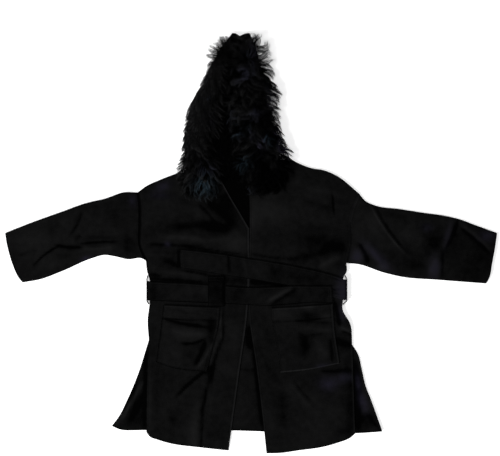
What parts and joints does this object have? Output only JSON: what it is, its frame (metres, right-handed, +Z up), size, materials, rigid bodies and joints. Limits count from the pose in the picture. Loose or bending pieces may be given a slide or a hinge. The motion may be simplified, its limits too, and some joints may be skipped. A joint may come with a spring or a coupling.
{
  "type": "hooded belted coat",
  "caption": "Short felted wool coat with a long-furred hood, open front, crossing tie belt and patch pockets, laid out flat on its back.",
  "frame": {"origin": "on the floor, in the middle of the coat's outline seen from above", "axes": "+X the wearer's left, along the sleeves; +Y from the hem to the hood; +Z up, out of the coat's front"},
  "size_m": [1.4034, 1.1965, 0.0464],
  "materials": {
    "wool": "felted wool, brushed, near black",
    "belt_wool": "felted wool band, near black",
    "fur": "long black fur with a cool sheen and grey tips at the crown",
    "hood_back": "black pile at the hood's back"
  },
  "bodies": {
    "root": {"back_panel": "wool", "front_right": "wool", "front_left": "wool", "sleeve_right": "wool", "sleeve_left": "wool", "pocket_right": "wool", "pocket_left": "wool", "belt_long_end": "belt_wool", "belt_short_end": "belt_wool", "belt_back": "belt_wool", "belt_loop_front": "wool", "belt_loop_side_right": "wool", "belt_loop_side_left": "wool", "hood_back": "hood_back", "hood_fur_right": "fur", "hood_fur_left": "fur"}
  },
  "joints": []
}
